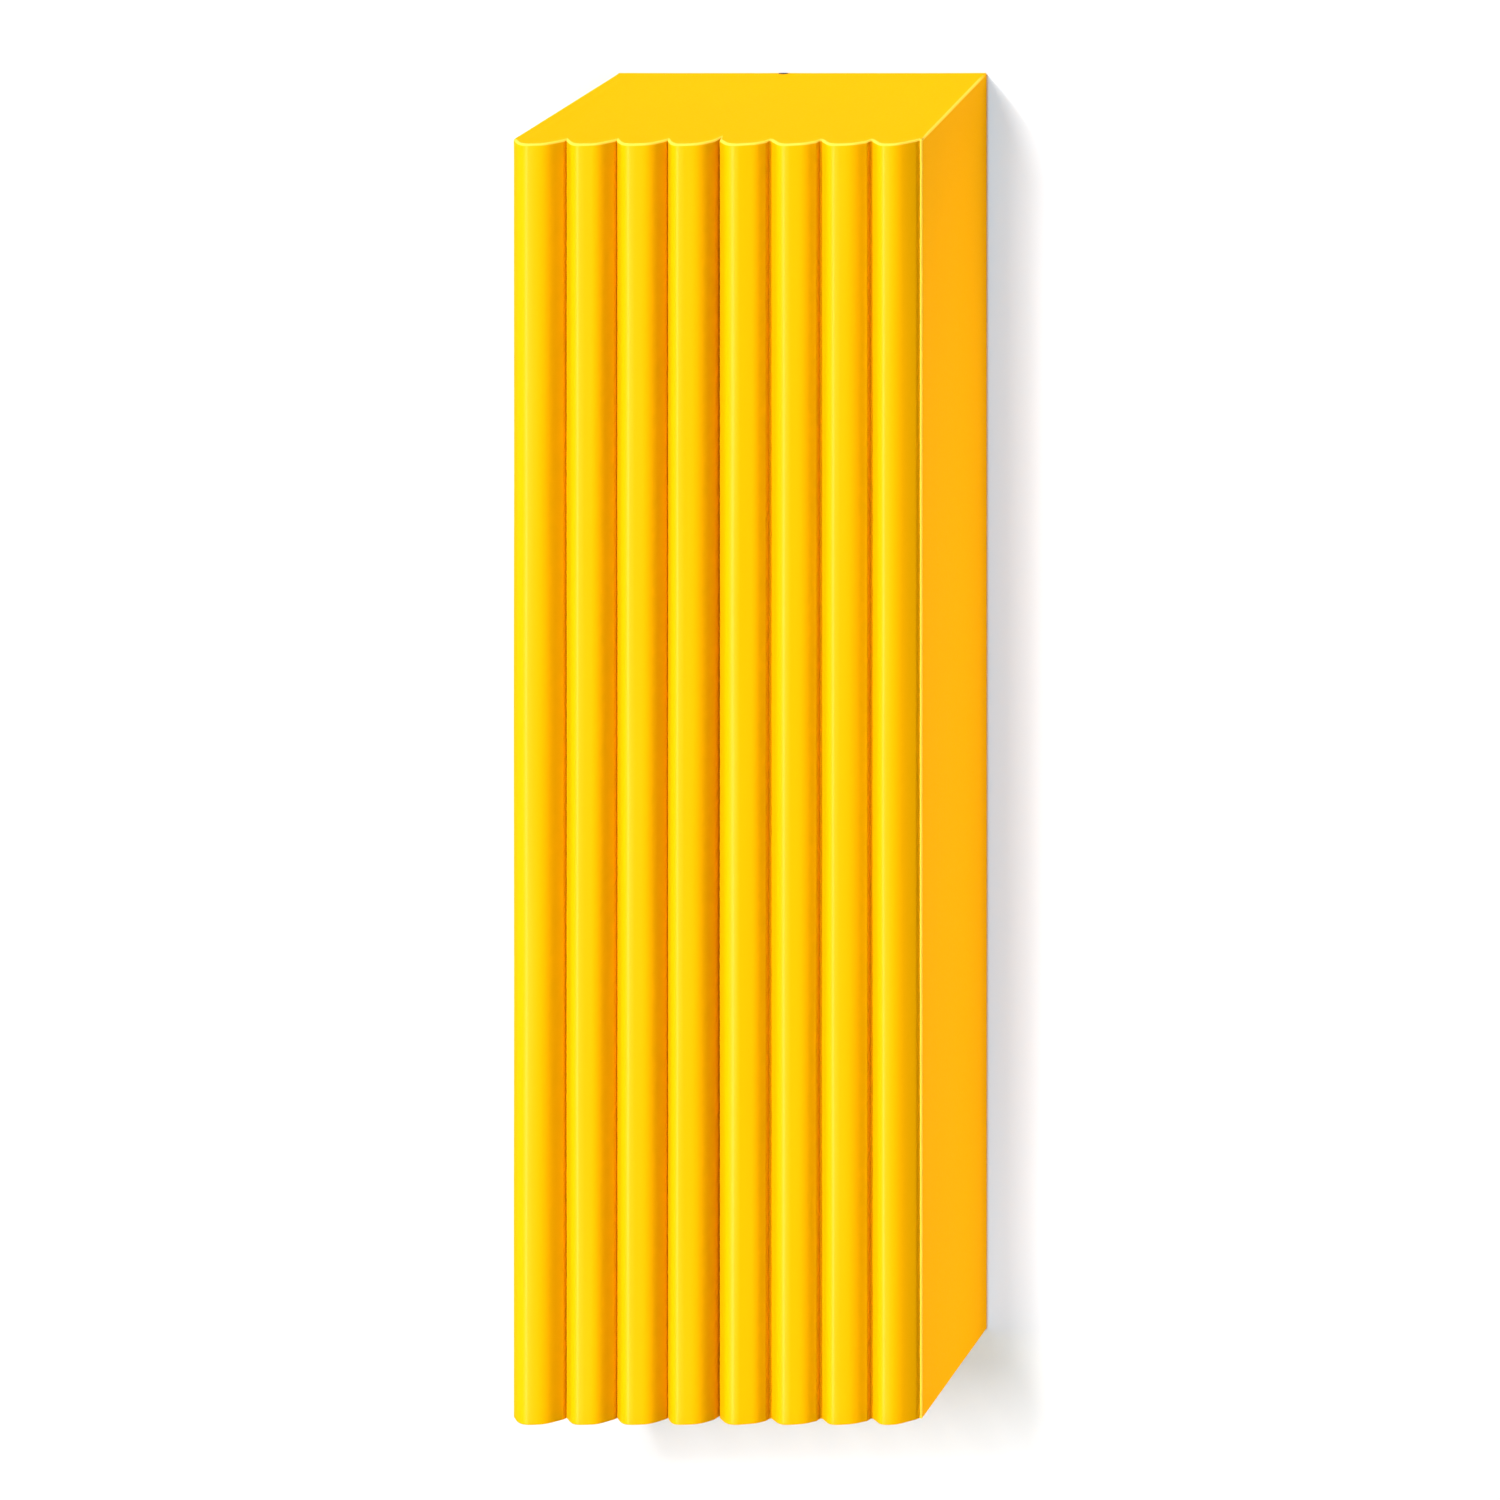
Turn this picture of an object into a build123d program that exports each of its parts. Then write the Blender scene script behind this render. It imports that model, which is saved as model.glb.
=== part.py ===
from build123d import *
import math
import os

# A bar of oven-hardening modelling clay, lying on its back with its ribbed face up.
# Millimetres. +Z points up out of the ribbed face, +Y runs along the ribs.
# The origin is the centre of the flat back, on the surface that the bar lies on.
# The bar is scored by lengthwise grooves into equal portions, and each portion is its own solid.
# Neighbouring portions meet face to face under the bottom of the groove between them.

# Driving dimensions of the bar
BAR_LENGTH = 173.0
FRONT_WIDTH = 55.4
BACK_WIDTH = 50.7
BAR_DEPTH = 35.0
PORTION_COUNT = 8

# Ribs and grooves of the front face
RIB_PITCH = 6.85
GROOVE_DEPTH = 2.2
MIDDLE_SLOT_DEPTH = 3.7
MIDDLE_SLOT_WIDTH = 0.5
CREST_SHARE = 0.42
LEFT_MARGIN = 0.35
RIGHT_LIP = 0.5
LIP_RISE = 0.1
LEFT_FLANK_ANGLE = 54.0
RIGHT_FLANK_ANGLE = 47.0

# Rounded edges
FRONT_CORNER_RADIUS = 0.2
BACK_CORNER_RADIUS = 0.15
END_RADIUS = 0.3

# Shallow score along the back
SCORE_X = -2.5
SCORE_WIDTH = 1.0
SCORE_DEPTH = 0.5

# An edge this near to an end of the bar belongs to the rim of that end.
TOLERANCE = 0.01

GROOVE_Z = BAR_DEPTH - GROOVE_DEPTH
BACK_SHARE = BACK_WIDTH / FRONT_WIDTH
MIDDLE = PORTION_COUNT // 2


def point(x, z):
    """A point of the bar's cross-section."""
    return Vector(x, 0, z)


def wall_x(index):
    """Where the groove bottom before portion number index crosses the front."""
    return -FRONT_WIDTH / 2 + LEFT_MARGIN + index * RIB_PITCH


def groove_edge(index, side):
    """Where the rib on the -1 or +1 side of that groove ends: the middle groove goes on down as a slot."""
    half = MIDDLE_SLOT_WIDTH / 2 if index == MIDDLE else 0
    return point(wall_x(index) + side * half, GROOVE_Z)


def groove_wall(index, edge):
    """Edges from a rib's edge down the slot's side, if it has one, and down the wall between portions."""
    back = point(wall_x(index) * BACK_SHARE, 0)
    if index != MIDDLE:
        return [Line(edge, back)], back
    bottom = point(wall_x(index), BAR_DEPTH - MIDDLE_SLOT_DEPTH)
    return [Line(edge, bottom), Line(bottom, back)], back


def flank(groove, crest, angle, trim=0):
    """Straight flank out of a groove, less its first trim, and the arc that levels out at the crest."""
    run = abs(crest.X - groove.X)
    rise = crest.Z - groove.Z
    side = math.copysign(1, crest.X - groove.X)
    slope = math.radians(angle)
    radius = (run * math.tan(slope) - rise) / (1 / math.cos(slope) - 1)
    centre = crest - Vector(0, 0, radius)

    def on_arc(turn):
        return centre + Vector(-side * math.sin(turn), 0, math.cos(turn)) * radius

    foot = groove + Vector(side * math.cos(slope), 0, math.sin(slope)) * trim
    return [Line(foot, on_arc(slope)), ThreePointArc(on_arc(slope), on_arc(slope / 2), crest)]


def corner(before, tip, after, radius):
    """Where the arc that rounds the corner at tip leaves the two sides, and that arc."""
    to_before = (before - tip).normalized()
    to_after = (after - tip).normalized()
    half = math.radians(to_before.get_angle(to_after)) / 2
    reach = radius / math.tan(half)
    start = tip + to_before * reach
    end = tip + to_after * reach
    inward = (to_before + to_after).normalized()
    middle = tip + inward * (radius / math.sin(half) - radius)
    return start, end, ThreePointArc(start, middle, end)


def outer_wall(before, tip, side):
    """Rounded front corner at tip, side wall with its draft, and the rounded back corner."""
    heel = point(side * BACK_WIDTH / 2, 0)
    front_start, wall_start, front_arc = corner(before, tip, heel, FRONT_CORNER_RADIUS)
    wall_end, back_start, back_arc = corner(tip, heel, point(0, 0), BACK_CORNER_RADIUS)
    return front_start, [front_arc, Line(wall_start, wall_end), back_arc], back_start


def left_side(index):
    """Edges from the crest of a portion down its left side, and where they meet the back."""
    crest = point(wall_x(index) + CREST_SHARE * RIB_PITCH, BAR_DEPTH)
    if index > 0:
        edge = groove_edge(index, 1)
        wall, back = groove_wall(index, edge)
        return [*flank(edge, crest, LEFT_FLANK_ANGLE), *wall], back
    drop = LEFT_MARGIN * math.tan(math.radians(LEFT_FLANK_ANGLE))
    tip = point(-FRONT_WIDTH / 2, GROOVE_Z - drop)
    rib_foot = point(wall_x(0), GROOVE_Z)
    foot, wall, back = outer_wall(rib_foot, tip, -1)
    return [*flank(tip, crest, LEFT_FLANK_ANGLE, (foot - tip).length), *wall], back


def right_side(index):
    """The same down its right side; the last portion ends in a narrow lip at the bar's corner."""
    crest = point(wall_x(index) + CREST_SHARE * RIB_PITCH, BAR_DEPTH)
    if index < PORTION_COUNT - 1:
        edge = groove_edge(index + 1, -1)
        wall, back = groove_wall(index + 1, edge)
        return [*flank(edge, crest, RIGHT_FLANK_ANGLE), *wall], back
    groove = point(FRONT_WIDTH / 2 - RIGHT_LIP, GROOVE_Z)
    tip = point(FRONT_WIDTH / 2, GROOVE_Z + LIP_RISE)
    foot, wall, back = outer_wall(groove, tip, 1)
    return [*flank(groove, crest, RIGHT_FLANK_ANGLE), Line(groove, foot), *wall], back


def back_edges(left, right):
    """The flat back between two points, with the score where it crosses this portion."""
    half = SCORE_WIDTH / 2
    if not left.X < SCORE_X - half < SCORE_X + half < right.X:
        return [Line(left, right)]
    start = point(SCORE_X - half, 0)
    end = point(SCORE_X + half, 0)
    score = ThreePointArc(start, point(SCORE_X, SCORE_DEPTH), end)
    return [Line(left, start), score, Line(end, right)]


def portion_face(index):
    """Closed cross-section of portion number index, counted from 0 at the -X side."""
    left_edges, back_left = left_side(index)
    right_edges, back_right = right_side(index)
    return Face(Wire(left_edges + right_edges + back_edges(back_left, back_right)))


def round_end(solid, end_y):
    """Round the rim of the rib at one end of a portion, leaving the low lip beside it sharp."""
    rim = [
        edge
        for edge in solid.edges()
        if abs(edge.center().Y - end_y) < TOLERANCE
        and edge.bounding_box().max.Z > GROOVE_Z + 2 * LIP_RISE
    ]
    return solid.fillet(END_RADIUS, rim)


def portion(index):
    """One portion: its cross-section carried along the ribs, with its end rims rounded."""
    section = portion_face(index).moved(Pos(0, -BAR_LENGTH / 2, 0))
    solid = Solid.extrude(section, Vector(0, BAR_LENGTH, 0))
    solid = round_end(solid, BAR_LENGTH / 2)
    return round_end(solid, -BAR_LENGTH / 2)


os.makedirs("parts", exist_ok=True)
for number in range(PORTION_COUNT):
    export_step(portion(number), f"parts/portion_{number + 1}.step")
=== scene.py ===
import math
from collections import namedtuple

import bpy
from mathutils import Matrix, Vector, noise


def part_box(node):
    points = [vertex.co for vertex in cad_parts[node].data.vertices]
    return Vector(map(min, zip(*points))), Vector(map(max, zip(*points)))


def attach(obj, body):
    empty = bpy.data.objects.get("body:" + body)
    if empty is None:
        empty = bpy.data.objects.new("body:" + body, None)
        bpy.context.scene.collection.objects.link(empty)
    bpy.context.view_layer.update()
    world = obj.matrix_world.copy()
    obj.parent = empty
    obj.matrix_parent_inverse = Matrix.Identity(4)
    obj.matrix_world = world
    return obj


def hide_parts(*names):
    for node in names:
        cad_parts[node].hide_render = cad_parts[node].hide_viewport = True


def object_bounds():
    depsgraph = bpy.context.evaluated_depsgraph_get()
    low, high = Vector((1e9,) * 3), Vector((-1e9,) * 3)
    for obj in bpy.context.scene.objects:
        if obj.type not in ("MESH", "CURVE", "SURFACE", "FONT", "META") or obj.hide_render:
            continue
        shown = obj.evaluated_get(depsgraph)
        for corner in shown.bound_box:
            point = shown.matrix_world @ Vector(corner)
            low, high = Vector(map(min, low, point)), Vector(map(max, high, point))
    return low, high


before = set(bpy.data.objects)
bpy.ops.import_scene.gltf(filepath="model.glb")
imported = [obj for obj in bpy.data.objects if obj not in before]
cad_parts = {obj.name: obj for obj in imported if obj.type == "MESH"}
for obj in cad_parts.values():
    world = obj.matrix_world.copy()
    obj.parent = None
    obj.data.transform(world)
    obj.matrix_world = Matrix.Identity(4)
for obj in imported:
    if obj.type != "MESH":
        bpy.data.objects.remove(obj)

# A ribbed bar of modelling clay lying on its back. Metres, in the CAD's frame:
# +Z out of the ribbed face, +Y along the ribs, the surface that the bar lies on at z = 0.

MM = 0.001
cad_low, cad_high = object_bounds()

# The portions and the walls between them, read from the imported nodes. The bar narrows towards its back,
# so a box's outer side is a wall's front edge and its inner side the back edge.
PORTIONS = [f"portion_{number + 1}" for number in range(len(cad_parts))]
BOXES = [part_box(name) for name in PORTIONS]
MIDDLE = len(PORTIONS) // 2
BAR_LENGTH = cad_high[1] - cad_low[1]
BAR_DEPTH = cad_high[2]

# The rest of the cross-section, as designed in the CAD part.
FRONT_WIDTH = 55.4 * MM
BACK_WIDTH = 50.7 * MM
GROOVE_DEPTH = 2.2 * MM
MIDDLE_SLOT_DEPTH = 3.7 * MM
MIDDLE_SLOT_WIDTH = 0.5 * MM
LEFT_MARGIN = 0.35 * MM
RIGHT_LIP = 0.5 * MM
LIP_RISE = 0.1 * MM
FRONT_CORNER_RADIUS = 0.2 * MM
BACK_CORNER_RADIUS = 0.15 * MM
SCORE_X = -2.5 * MM
SCORE_WIDTH = 1.0 * MM
SCORE_DEPTH = 0.5 * MM
END_RADIUS = 0.3 * MM
LEFT_FLANK_ANGLE = math.radians(54.0)

GROOVE_Z = BAR_DEPTH - GROOVE_DEPTH
MIDDLE_SLOT_Z = BAR_DEPTH - MIDDLE_SLOT_DEPTH
LEFT_TIP = (-FRONT_WIDTH / 2, GROOVE_Z - LEFT_MARGIN * math.tan(LEFT_FLANK_ANGLE))
RIGHT_TIP = (FRONT_WIDTH / 2, GROOVE_Z + LIP_RISE)
RIB_PITCH = BOXES[MIDDLE - 1][1][0] - BOXES[MIDDLE - 1][0][0]

# The fine crease at the bottom of each groove except the middle slot. Where a rib ends higher than the next
# one, the crease between them is filled by CREASE_FILL of the difference and moved by CREASE_SHIFT of it.
CREASE_DEPTH = 0.3 * MM
CREASE_WIDTH = 0.24 * MM
LIP_CREASE_WIDTH = 0.4 * MM
CREASE_FILL = 0.5
CREASE_SHIFT = 0.15

# From its crest a rib falls gently, bends over a shoulder and falls steeply down to the groove.
# crest: where the crest lies, as a share of the pitch.
# left_length: how long the left shoulder is, as a share of the run from crest to groove.
# right_start, right_length: where the right shoulder starts and how long it is, as shares of such a run.
# rise: how much higher than on the other ribs the right side ends, in millimetres.
# inset: how far the left side starts from the bottom of its groove at least, in millimetres.
Rib = namedtuple("Rib", "crest left_length right_start right_length rise inset")
RIBS = [
    Rib(0.40, 0.90, 0.15, 0.65, 0.0, 0.12),
    Rib(0.40, 0.75, 0.30, 0.50, 0.0, 0.12),
    Rib(0.40, 0.90, 0.30, 0.60, 0.0, 0.12),
    Rib(0.36, 0.90, 0.30, 0.70, 0.0, 0.12),
    Rib(0.47, 0.80, 0.50, 0.80, 0.6, 0.28),
    Rib(0.47, 0.65, 0.35, 1.00, 0.6, 0.25),
    Rib(0.44, 0.65, 0.20, 1.10, 0.6, 0.25),
    Rib(0.43, 0.60, 0.10, 0.56, 0.0, 0.22),
]

# Slopes of every rib before scaling: the gentle one that is reached at CREST_SHARE of the run from crest to
# groove, and the steep ones. A right side ends RIGHT_FOOT_RISE above the groove's designed bottom. Where it
# ends higher still, its slope eases by FOOT_RELIEF over the last FOOT_SHARE of the run.
CREST_TILT = math.radians(6.5)
CREST_SHARE = 0.2
LEFT_TILT = math.radians(56.0)
RIGHT_TILT = math.radians(50.0)
RIGHT_FOOT_RISE = 0.2 * MM
FOOT_RELIEF = 0.4
FOOT_SHARE = 0.2

# The painted shade in the grooves, darker and deeper orange, reaches the last rib's open side only in part.
OPEN_SIDE_SHARE = 0.6

# Slow unevenness left by extrusion, up and down and sideways: its sizes across, along and up the bar, and
# its reach. LIFT_OFFSET lowers the ribs by that share of the reach, so that they hardly rise above the
# designed ones. SWAY_PLACE keeps the sideways part independent of the other.
LIFT_SIZES = (3.4 * MM, 26 * MM, 9 * MM)
LIFT_REACH = 0.04 * MM
LIFT_OFFSET = 0.6
SWAY_SIZES = (9 * MM, 38 * MM, 9 * MM)
SWAY_REACH = 0.03 * MM
SWAY_PLACE = 40

# The clay was cut off at the +Y end, which left a faint burr along the rim.
BURR_HEIGHT = 0.06 * MM
BURR_RUN = 2.2 * MM

# Painted highlight along the front corners and the rim of the cut end, a paler colour that stands in for
# light. A point nearer to a front corner than PALE_SHARE of RIM_REACH gets it. The first point of the wall,
# RIM_REACH from the corner, doesn't. At the cut end the painted highlight fades in over RIM_FADE of the
# rounding.
RIM_REACH = 0.3 * MM
PALE_SHARE = 0.95
RIM_FADE = 0.3

# At the rounded ends a corner shrinks by no more than this share of its own radius, so that it doesn't fold
# over, and the top of an inner wall sinks faster than the outline beside it, so that the grooves stay open.
CORNER_SHRINK = 0.9
WALL_SINK = 1.5

# Mesh detail
FLANK_STEPS = 26
ARC_STEPS = 6
WALL_STEPS = 10
LENGTH_STEPS = 90
ROUND_STEPS = 6


# ---------------------------------------------------------------- camera

# The camera looks along a slant, yet its picture plane stays parallel to the ribbed face, as in a view camera
# with its back kept square to the subject. A parent with a sheared inverse gives that without any lens shift.
VIEW_TARGET = Vector((4.41, 3.98, 32.8)) * MM
VIEW_POINT = Vector((627.95, 577.0, 1786.8)) * MM
FRAME_WIDTH = 202.7 * MM
SENSOR_WIDTH = 36.0


def make_camera():
    """The camera and its sheared parent."""
    scene = bpy.context.scene
    mount = bpy.data.objects.new("camera_mount", None)
    data = bpy.data.cameras.new("camera")
    camera = bpy.data.objects.new("camera", data)
    scene.collection.objects.link(mount)
    scene.collection.objects.link(camera)
    back = VIEW_POINT - VIEW_TARGET
    data.sensor_width = SENSOR_WIDTH
    data.lens = SENSOR_WIDTH * back.length / FRAME_WIDTH
    data.clip_start = 0.1
    data.clip_end = 10.0
    back.normalize()
    camera.parent = mount
    camera.matrix_parent_inverse = Matrix(
        (
            (1, 0, back.x, VIEW_POINT.x),
            (0, 1, back.y, VIEW_POINT.y),
            (0, 0, back.z, VIEW_POINT.z),
            (0, 0, 0, 1),
        )
    )
    scene.camera = camera


# ---------------------------------------------------------------- cross-section of a portion


def wall_x(index):
    """Where the groove bottom before portion number index crosses the front."""
    if index == 0:
        return -FRONT_WIDTH / 2 + LEFT_MARGIN
    if index <= MIDDLE:
        return BOXES[index][0][0]
    return BOXES[index - 1][1][0]


def groove_bottom(index):
    """The bottom of the crease in the groove before portion number index. The middle one is a deep slot."""
    if index == 0:
        return (wall_x(0), GROOVE_Z - CREASE_DEPTH)
    if index == MIDDLE:
        return (wall_x(index), MIDDLE_SLOT_Z)
    x = FRONT_WIDTH / 2 - RIGHT_LIP if index == len(PORTIONS) else wall_x(index)
    rise = RIBS[index - 1].rise * MM
    return (x + CREASE_SHIFT * rise, GROOVE_Z - CREASE_DEPTH + CREASE_FILL * rise)


def groove_edge(index, side):
    """Where the rib on the -1 or +1 side of a groove meets its crease."""
    x, z = groove_bottom(index)
    if index == len(PORTIONS):
        half = LIP_CREASE_WIDTH / 2
    else:
        half = (MIDDLE_SLOT_WIDTH if index == MIDDLE else CREASE_WIDTH) / 2
        if side > 0:
            half = max(half, RIBS[index].inset * MM)
    if side > 0:
        return (x + half, max(GROOVE_Z, z))
    return (x - half, GROOVE_Z + RIGHT_FOOT_RISE + RIBS[index - 1].rise * MM)


def smooth(share):
    """A share from 0 to 1, eased in and out."""
    share = min(1.0, max(0.0, share))
    return share * share * (3 - 2 * share)


def rib_side(crest, groove, steep_tilt, shoulder, shoulder_length, relief=0):
    """Points from the crest over the shoulder and down the steep side to the edge of the groove's crease.
    The slopes are then scaled, so that the side ends at that edge."""
    shares = [step / FLANK_STEPS for step in range(FLANK_STEPS + 1)]
    depths = [0.0]
    for before, after in zip(shares, shares[1:]):
        share = (before + after) / 2
        tilt = CREST_TILT * smooth(share / CREST_SHARE)
        tilt += (steep_tilt - CREST_TILT) * smooth((share - shoulder) / shoulder_length)
        tilt *= 1 - relief * smooth((share - 1 + FOOT_SHARE) / FOOT_SHARE)
        depths.append(depths[-1] + math.tan(tilt) * (after - before))
    run = groove[0] - crest[0]
    drop = (crest[1] - groove[1]) / depths[-1]
    return [(crest[0] + run * share, crest[1] - drop * depth) for share, depth in zip(shares, depths)]


def corner(before, tip, after, radius):
    """Points of the arc that rounds the corner at tip."""
    tip = Vector(tip)
    to_before = (Vector(before) - tip).normalized()
    to_after = (Vector(after) - tip).normalized()
    half = to_before.angle(to_after) / 2
    centre = tip + (to_before + to_after).normalized() * (radius / math.sin(half))
    start = (tip + to_before * (radius / math.tan(half)) - centre).normalized()
    end = (tip + to_after * (radius / math.tan(half)) - centre).normalized()
    turns = [start.slerp(end, step / ARC_STEPS) for step in range(ARC_STEPS + 1)]
    return [tuple(centre + turn * radius) for turn in turns]


def outer_wall(before, tip, side):
    """Points round the front corner at tip, down the side wall and round the back corner."""
    heel = (side * BACK_WIDTH / 2, 0)
    front = corner(before, tip, heel, FRONT_CORNER_RADIUS)
    back = corner(tip, heel, (0, 0), BACK_CORNER_RADIUS)
    start = Vector(tip) + (Vector(heel) - Vector(tip)).normalized() * RIM_REACH
    wall = [tuple(start.lerp(Vector(back[0]), step / WALL_STEPS)) for step in range(WALL_STEPS)]
    return front + wall + back


def back_points(left, right):
    """Points of the back from right to left, with the score where it crosses this portion."""
    half = SCORE_WIDTH / 2
    if not left < SCORE_X - half < SCORE_X + half < right:
        return []
    count = 2 * ARC_STEPS
    points = []
    for step in range(count + 1):
        turn = math.pi * step / count
        points.append((SCORE_X + half * math.cos(turn), SCORE_DEPTH * math.sin(turn)))
    return points


def section(index):
    """Closed outline of one portion, clockwise seen from -Y, and its inner walls.
    A wall is a pair of steps of the outline, its front end and its back end."""
    first = index == 0
    last = index == len(PORTIONS) - 1
    rib = RIBS[index]
    crest = (wall_x(index) + rib.crest * RIB_PITCH, BAR_DEPTH)
    if first:
        left_wall = outer_wall((wall_x(0), GROOVE_Z), LEFT_TIP, -1)
        left_back = left_wall[-1][0]
        left_edge = left_wall[0]
        outline = []
    else:
        left_back = wall_x(index) * BACK_WIDTH / FRONT_WIDTH
        left_edge = groove_edge(index, 1)
        outline = [groove_bottom(index)]
    outline += rib_side(crest, left_edge, LEFT_TILT, 0, rib.left_length)[::-1]
    right_edge = groove_edge(index + 1, -1)
    relief = FOOT_RELIEF if rib.rise > 0 else 0
    outline += rib_side(crest, right_edge, RIGHT_TILT, rib.right_start, rib.right_length, relief)[1:]
    outline.append(groove_bottom(index + 1))
    groove_step = len(outline) - 1
    if last:
        outline += outer_wall(groove_edge(index + 1, 1), RIGHT_TIP, 1)
        right_back = outline[-1][0]
    else:
        right_back = wall_x(index + 1) * BACK_WIDTH / FRONT_WIDTH
        outline.append((right_back, 0))
    outline += back_points(left_back, right_back)
    outline += left_wall[:0:-1] if first else [(left_back, 0)]
    walls = [] if last else [(groove_step, groove_step + 1)]
    if not first:
        walls.append((0, len(outline) - 1))
    return outline, walls


def cavity_depths(outline, index):
    """How deep each point of a rib lies towards its grooves, which sets its painted shade: 0 at the crest, 1
    at the bottom of a crease.
    """
    depths = [0.0] * len(outline)
    first_step = FLANK_STEPS if index == 0 else 0
    groove_step = outline.index(groove_bottom(index + 1))
    for step in range(first_step, groove_step + 1):
        depths[step] = min(1.0, (BAR_DEPTH - outline[step][1]) / (GROOVE_DEPTH + CREASE_DEPTH))
        if index == len(PORTIONS) - 1 and FLANK_STEPS < step < groove_step:
            depths[step] *= OPEN_SIDE_SHARE
    return depths


def rim_highlight_weights(outline, y):
    """Where the painted highlight lies: 1 along the front corners and along the rim of the cut end, 0
    elsewhere.
    """
    past_edge = (y - BAR_LENGTH / 2 + END_RADIUS) / END_RADIUS
    end_weight = smooth(past_edge / RIM_FADE)
    weights = []
    for place in outline:
        tip = Vector(RIGHT_TIP if place[0] > 0 else LEFT_TIP)
        if (Vector(place) - tip).length < PALE_SHARE * RIM_REACH:
            weights.append(1.0)
        else:
            weights.append(end_weight if place[1] > RIM_REACH else 0.0)
    return weights


def shrink_limit(place):
    """How far the section may shrink at a point, which is less within two radii of a rounded corner."""
    corners = (
        (LEFT_TIP, FRONT_CORNER_RADIUS),
        (RIGHT_TIP, FRONT_CORNER_RADIUS),
        ((-BACK_WIDTH / 2, 0), BACK_CORNER_RADIUS),
        ((BACK_WIDTH / 2, 0), BACK_CORNER_RADIUS),
    )
    near = [radius for tip, radius in corners if (Vector(place) - Vector(tip)).length < 2 * radius]
    return CORNER_SHRINK * min(near) if near else END_RADIUS


def inward_directions(outline, walls):
    """How each outline point moves as the section shrinks at the rounded ends."""
    count = len(outline)
    directions = []
    for step in range(count):
        before = Vector(outline[step - 1])
        here = Vector(outline[step])
        after = Vector(outline[(step + 1) % count])
        along = ((here - before).normalized() + (after - here).normalized()).normalized()
        directions.append(Vector((along.y, -along.x)))
    for front_step, back_step in walls:
        lean = (outline[back_step][0] - outline[front_step][0]) / outline[front_step][1]
        directions[front_step] = Vector((lean, -1)) * WALL_SINK
        directions[back_step] = Vector((-lean, 1))
    return directions


# ---------------------------------------------------------------- clay portions


def stations():
    """Places along Y, each with how far the section has shrunk there."""
    half = BAR_LENGTH / 2
    near_end = []
    far_end = []
    for step in range(ROUND_STEPS + 1):
        turn = math.pi / 2 * step / ROUND_STEPS
        offset = half - END_RADIUS * (1 - math.sin(turn))
        shrink = END_RADIUS * (1 - math.cos(turn))
        near_end.insert(0, (-offset, shrink))
        far_end.append((offset, shrink))
    reach = half - END_RADIUS
    straight = [(reach * (2 * step / LENGTH_STEPS - 1), 0) for step in range(1, LENGTH_STEPS)]
    return near_end + straight + far_end


def slow_noise(x, y, z, sizes, place=0):
    """Smooth noise with features of the given sizes along X, Y and Z. place picks another stretch of it."""
    return noise.noise(Vector((x / sizes[0], y / sizes[1], z / sizes[2] + place)))


def drift(x, y, z):
    """Slow unevenness left by extrusion, and the burr, the same for both portions at a shared wall.
    The lift and the burr fade out down to half the bar's depth, so the back stays flat."""
    lift = LIFT_REACH * (slow_noise(x, y, z, LIFT_SIZES) - LIFT_OFFSET)
    sway = SWAY_REACH * slow_noise(x, y, z, SWAY_SIZES, SWAY_PLACE)
    above = smooth((z - GROOVE_Z / 2) / (GROOVE_Z / 2))
    burr = smooth((y - BAR_LENGTH / 2 + BURR_RUN) / BURR_RUN) ** 2
    return Vector((sway, 0, (lift + BURR_HEIGHT * burr) * above))


def ring_faces(ring_count, count):
    """Quads between neighbouring rings of count vertices, and the two caps."""
    sides = []
    for ring in range(ring_count - 1):
        for step in range(count):
            a = ring * count + step
            b = ring * count + (step + 1) % count
            sides.append((a, b, b + count, a + count))
    near_cap = tuple(range(count))[::-1]
    far_cap = tuple(range((ring_count - 1) * count, ring_count * count))
    return sides, [near_cap, far_cap]


def make_portion(index, material):
    """One portion: its cross-section carried along the bar, rounded at both ends and slightly uneven."""
    outline, walls = section(index)
    directions = inward_directions(outline, walls)
    rings = stations()
    depths = cavity_depths(outline, index) * len(rings)
    rim_highlights = []
    vertices = []
    for y, shrink in rings:
        rim_highlights += rim_highlight_weights(outline, y)
        for (x, z), direction in zip(outline, directions):
            move = direction * min(shrink, shrink_limit((x, z)))
            place = Vector((x + move.x, y, z + move.y))
            vertices.append(place + drift(*place))
    count = len(outline)
    sides, caps = ring_faces(len(rings), count)
    mesh = bpy.data.meshes.new(PORTIONS[index] + "_clay")
    mesh.from_pydata(vertices, [], sides + caps)
    mesh.update()
    mesh.polygons.foreach_set("use_smooth", [True] * len(sides) + [False] * len(caps))
    # The depths set the painted shade in the grooves, the weights the painted highlight along the edges.
    paint(mesh, "cavity", depths, sides, caps)
    paint(mesh, "rim", rim_highlights, sides, caps)
    mark_sharp(mesh, walls, count)
    mesh.materials.append(material)
    piece = bpy.data.objects.new(PORTIONS[index] + "_clay", mesh)
    bpy.context.scene.collection.objects.link(piece)
    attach(piece, "root")
    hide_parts(PORTIONS[index])
    return piece


def paint(mesh, name, values, sides, caps):
    """Stores a value per vertex for the side faces to be coloured by. The caps get 0."""
    painted = [values[vertex] for face in sides for vertex in face]
    painted += [0.0 for face in caps for vertex in face]
    mesh.attributes.new(name, "FLOAT", "CORNER").data.foreach_set("value", painted)


def mark_sharp(mesh, walls, count):
    """Keeps the edges at the inner walls sharp, so that neighbouring portions shade as one surface."""
    sharp_steps = {step for wall in walls for step in wall}
    for edge in mesh.edges:
        a, b = edge.vertices
        if a % count == b % count and a % count in sharp_steps:
            edge.use_edge_sharp = True


# ---------------------------------------------------------------- clay material

CLAY_COLOR = (0.97, 0.47, 0.0006, 1)
# Painted shade on the flanks and in the grooves
FLANK_SHADE_COLOR = (0.77, 0.38, 0.0, 1)
GROOVE_SHADE_COLOR = (0.6, 0.25, 0.0, 1)
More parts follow.
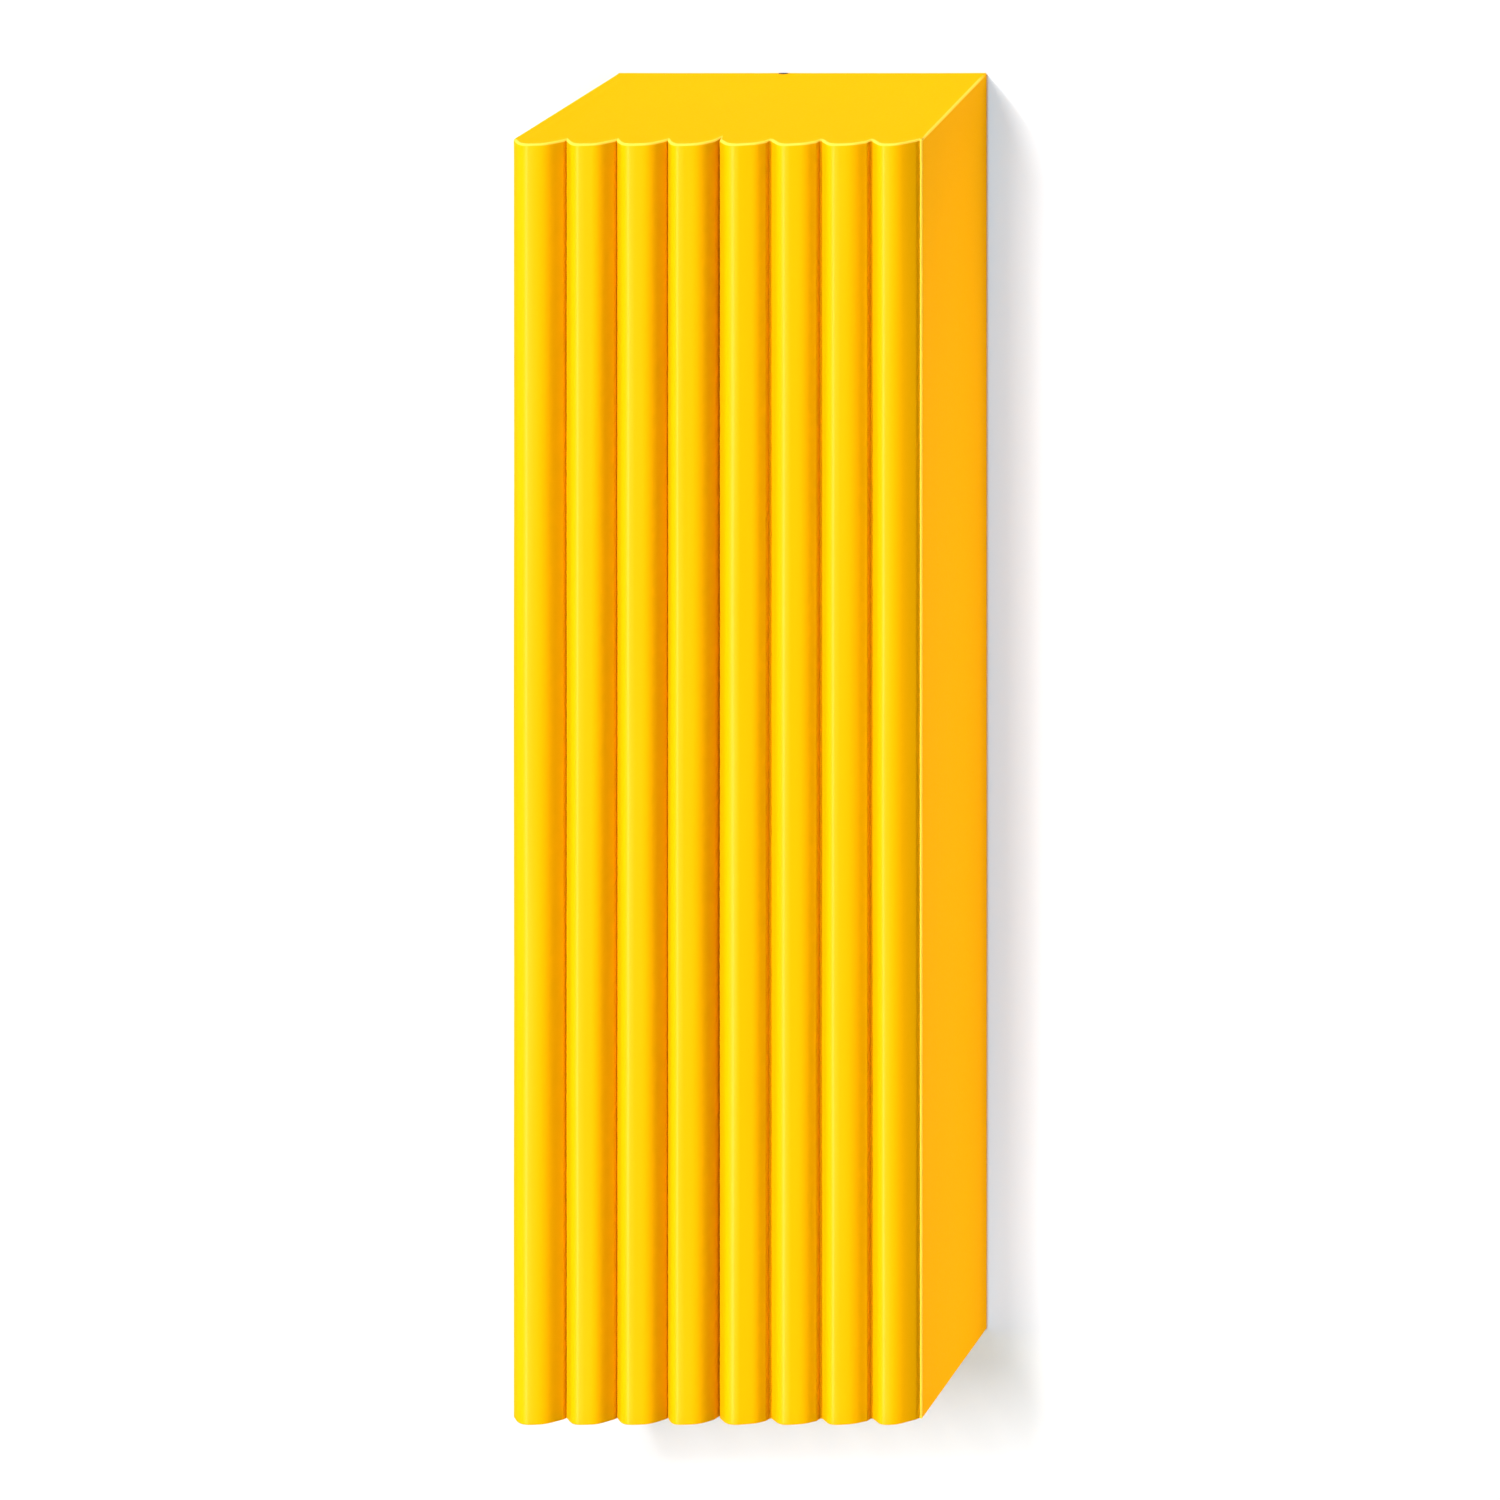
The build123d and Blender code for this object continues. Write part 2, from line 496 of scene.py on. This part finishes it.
# Painted highlight along the front corners and the cut end's rim
RIM_HIGHLIGHT_COLOR = (1.0, 0.66, 0.07, 1)
PATCH_COLOR = (0.93, 0.43, 0.0, 1)
PATCH_SHARE = 0.12
ROUGHNESS_LOW = 0.33
ROUGHNESS_HIGH = 0.41
SPECULAR_LEVEL = 0.01

# Painted shade by cavity depth: the clay's colour turns darker and deeper orange towards the bottoms of the
# grooves.
SHADE_STOPS = ((0.05, CLAY_COLOR), (0.5, FLANK_SHADE_COLOR), (0.86, FLANK_SHADE_COLOR), (1.0, GROOVE_SHADE_COLOR))

# Sizes and heights of the clay's texture, and the range in which nearly all of a noise's values lie.
PATCH_SIZE = 9 * MM
PATCH_STRETCH = 3
GRAIN_SIZE = 0.35 * MM
GRAIN_HEIGHT = 0.012 * MM
GRAIN_STRENGTH = 0.3
LINE_WIDTH = 0.5 * MM
LINE_LENGTH = 30 * MM
LINE_HEIGHT = 0.02 * MM
LINE_STRENGTH = 0.35
NOISE_LOW = 0.3
NOISE_HIGH = 0.7


def noise_node(tree, size, detail, stretch=1.0):
    """Noise with features of a size, stretched that many times along the ribs."""
    place = tree.nodes.new("ShaderNodeTexCoord")
    mapping = tree.nodes.new("ShaderNodeMapping")
    mapping.inputs["Scale"].default_value = (1 / size, 1 / (size * stretch), 1 / size)
    texture = tree.nodes.new("ShaderNodeTexNoise")
    texture.inputs["Scale"].default_value = 1.0
    texture.inputs["Detail"].default_value = detail
    tree.links.new(place.outputs["Object"], mapping.inputs["Vector"])
    tree.links.new(mapping.outputs["Vector"], texture.inputs["Vector"])
    return texture.outputs["Fac"]


def attribute(tree, name):
    """One of the values that paint stores on a mesh."""
    node = tree.nodes.new("ShaderNodeAttribute")
    node.attribute_name = name
    return node.outputs["Fac"]


def mapped(tree, value, low, high):
    """A noise value's usual range, stretched to run from low to high."""
    node = tree.nodes.new("ShaderNodeMapRange")
    node.inputs["From Min"].default_value = NOISE_LOW
    node.inputs["From Max"].default_value = NOISE_HIGH
    node.inputs["To Min"].default_value = low
    node.inputs["To Max"].default_value = high
    tree.links.new(value, node.inputs["Value"])
    return node.outputs["Result"]


def mixed(tree, factor, first, second):
    """Mixes a colour output with a fixed colour."""
    node = tree.nodes.new("ShaderNodeMix")
    node.data_type = "RGBA"
    tree.links.new(factor, node.inputs["Factor"])
    tree.links.new(first, node.inputs["A"])
    node.inputs["B"].default_value = second
    return node.outputs["Result"]


def cavity_painted_shade(tree):
    """Painted shade: darker, deeper orange towards the bottoms of the grooves."""
    shade_ramp = tree.nodes.new("ShaderNodeValToRGB")
    ramp = shade_ramp.color_ramp
    ramp.interpolation = "EASE"
    for step, (position, color) in enumerate(SHADE_STOPS):
        ready = step < len(ramp.elements)
        stop = ramp.elements[step] if ready else ramp.elements.new(position)
        stop.position = position
        stop.color = color
    tree.links.new(attribute(tree, "cavity"), shade_ramp.inputs["Fac"])
    return shade_ramp.outputs["Color"]


def bumped(tree, height, strength, depth, normal=None):
    """A normal bent by a height texture whose full range is depth, on top of another normal if given."""
    node = tree.nodes.new("ShaderNodeBump")
    node.inputs["Strength"].default_value = strength
    node.inputs["Distance"].default_value = depth
    tree.links.new(height, node.inputs["Height"])
    if normal:
        tree.links.new(normal, node.inputs["Normal"])
    return node.outputs["Normal"]


def make_clay():
    """Satin clay: slightly uneven colour and sheen, fine grain, and faint lines drawn along it by the die,
    with painted shade in the grooves and a painted highlight along the front corners and the cut end's rim.
    """
    material = bpy.data.materials.new("clay")
    material.use_nodes = True
    tree = material.node_tree
    shader = tree.nodes["Principled BSDF"]
    shader.inputs["Specular IOR Level"].default_value = SPECULAR_LEVEL
    patches = mapped(tree, noise_node(tree, PATCH_SIZE, 3, PATCH_STRETCH), 0, PATCH_SHARE)
    # Painted shade in the grooves, under random patches of tone.
    color = mixed(tree, patches, cavity_painted_shade(tree), PATCH_COLOR)
    # Painted highlight along the front corners and the cut end's rim.
    color = mixed(tree, attribute(tree, "rim"), color, RIM_HIGHLIGHT_COLOR)
    tree.links.new(color, shader.inputs["Base Color"])
    grain = noise_node(tree, GRAIN_SIZE, 4)
    lines = noise_node(tree, LINE_WIDTH, 2, LINE_LENGTH / LINE_WIDTH)
    tree.links.new(mapped(tree, grain, ROUGHNESS_LOW, ROUGHNESS_HIGH), shader.inputs["Roughness"])
    normal = bumped(tree, lines, LINE_STRENGTH, LINE_HEIGHT)
    normal = bumped(tree, grain, GRAIN_STRENGTH, GRAIN_HEIGHT, normal)
    tree.links.new(normal, shader.inputs["Normal"])
    return material


# ---------------------------------------------------------------- floor and lights

FLOOR_SIZE = 6.0
FLOOR_COLOR = (0.8, 0.8, 0.8, 1)
WORLD_STRENGTH = 0.14
LIGHT_DISTANCE = 2.0

# How far the cool cards stand off the faces that they cover
CARD_GAP = 0.1 * MM


def make_floor():
    """A wide matt floor that the clay doesn't reflect."""
    mesh = bpy.data.meshes.new("floor")
    corners = [(x * FLOOR_SIZE, y * FLOOR_SIZE, 0) for x, y in ((-1, -1), (1, -1), (1, 1), (-1, 1))]
    mesh.from_pydata(corners, [], [(0, 1, 2, 3)])
    material = bpy.data.materials.new("floor")
    material.use_nodes = True
    shader = material.node_tree.nodes["Principled BSDF"]
    shader.inputs["Base Color"].default_value = FLOOR_COLOR
    shader.inputs["Roughness"].default_value = 1.0
    shader.inputs["Specular IOR Level"].default_value = 0.0
    mesh.materials.append(material)
    floor = bpy.data.objects.new("floor", mesh)
    bpy.context.scene.collection.objects.link(floor)
    floor.visible_glossy = False
    return floor


def make_world():
    """Dim even light from all round, which the clay doesn't reflect."""
    world = bpy.data.worlds.new("studio")
    world.use_nodes = True
    background = world.node_tree.nodes["Background"]
    background.inputs["Color"].default_value = (1, 1, 1, 1)
    background.inputs["Strength"].default_value = WORLD_STRENGTH
    world.cycles_visibility.glossy = False
    bpy.context.scene.world = world


def rectangle_light(name, centre, back, side, size, energy, color):
    """A rectangular light. back points away from what it lights, and size[0] lies along side."""
    data = bpy.data.lights.new(name, "AREA")
    data.shape = "RECTANGLE"
    data.size, data.size_y = size
    data.energy = energy
    data.color = color
    light = bpy.data.objects.new(name, data)
    bpy.context.scene.collection.objects.link(light)
    turn = Matrix((side, back.cross(side), back)).transposed().to_4x4()
    light.matrix_world = Matrix.Translation(centre) @ turn
    return light


def area_light(name, direction, size, level, receivers=None, along=(0, 1, 0), color=(1, 1, 1)):
    """A rectangular light aimed at the bar. level is how bright it makes a white surface that faces it.
    along is the direction that size[0] follows as nearly as it can."""
    back = Vector(direction).normalized()
    side = Vector(along)
    side = (side - back * side.dot(back)).normalized()
    energy = level * math.pi**2 * LIGHT_DISTANCE**2
    light = rectangle_light(name, back * LIGHT_DISTANCE, back, side, size, energy, color)
    if receivers:
        light_only(light, receivers)
    return light


def card_light(name, centre, facing, size, radiance, color, receivers):
    """A glowing card near the bar, unseen itself. size is its length and its height."""
    back = -Vector(facing).normalized()
    side = back.cross(Vector((0, 0, 1))).normalized()
    energy = radiance * math.pi * size[0] * size[1]
    card = rectangle_light(name, centre, back, side, size, energy, color)
    card.visible_camera = False
    card.visible_glossy = False
    light_only(card, receivers)


def light_only(light, receivers):
    """Restricts a light to some objects."""
    group = bpy.data.collections.new(light.name + "_receivers")
    for obj in receivers:
        group.objects.link(obj)
    light.light_linking.receiver_collection = group


def make_lights(portions, floor):
    """Soft lights round the bar. The key acts on everything, and the others on the floor or the clay alone.
    key and far_key cast the shadow, and floor_wash brings the floor to white. rib_light shades the ribs,
    end_light and near_light brighten the two ends without a sheen, and glint gives a sheen alone."""
    area_light("key", (-0.131, 0.287, 1.0), (0.93, 0.05), 0.56, along=(-0.56, 0.83, 0))
    area_light("far_key", (-0.17, 0.49, 1.0), (0.16, 0.3), 0.26, [floor])
    area_light("floor_wash", (0, 0, 1), (1.6, 1.6), 0.585, [floor])
    area_light("rib_light", (-0.57, -0.2, 0.8), (0.8, 0.25), 1.0, portions)
    for name, side, level in (("end_light", 1, 0.6), ("near_light", -1, 0.03)):
        light = area_light(name, (0, side, 0.12), (0.5, 0.3), level, portions, along=(1, 0, 0))
        light.visible_glossy = False
    direction = (-0.555, -0.294, 0.777)
    glint = area_light("glint", direction, (0.8, 0.25), 13.0, portions, color=(1.0, 0.95, 0.42))
    glint.visible_diffuse = False


def make_cards(portions, floor):
    """Glowing cards. The warm one lights the side wall and stays lower than the ribs. The cool ones cover
    three faces and cancel the warm light that these throw onto the floor. The last one softens the shadow's
    corner."""
    middle = (GROOVE_Z + LIP_RISE) / 2
    place = (75 * MM, -30 * MM, 15.5 * MM)
    card_light("side_card", place, (-1, 0, 0), (0.25, 0.024), 2.33, (1.0, 0.72, 0.37), portions)

    place = ((FRONT_WIDTH + BACK_WIDTH) / 4 + CARD_GAP, 0, middle)
    facing = (GROOVE_Z, 0, -(FRONT_WIDTH - BACK_WIDTH) / 2)
    card_light("cool_side", place, facing, (BAR_LENGTH, GROOVE_Z), 1.1, (0.13, 0.58, 0.95), [floor])

    end = BAR_LENGTH / 2 + CARD_GAP
    size = (BACK_WIDTH, GROOVE_Z)
    card_light("cool_end", (0, end, middle), (0, 1, 0), size, 0.5, (0.0, 0.48, 1.0), [floor])
    card_light("cool_near", (0, -end, middle), (0, -1, 0), size, 0.42, (0.0, 0.56, 1.0), [floor])

    place = (48 * MM, -94 * MM, 30 * MM)
    card_light("corner_fill", place, (-0.2, 0, -1), (0.05, 0.04), 0.5, (0.85, 0.95, 1.0), [floor])


make_camera()
clay = make_clay()
clay_portions = [make_portion(index, clay) for index in range(len(PORTIONS))]
studio_floor = make_floor()
make_world()
make_lights(clay_portions, studio_floor)
make_cards(clay_portions, studio_floor)

bpy.context.scene.view_settings.view_transform = "Standard"
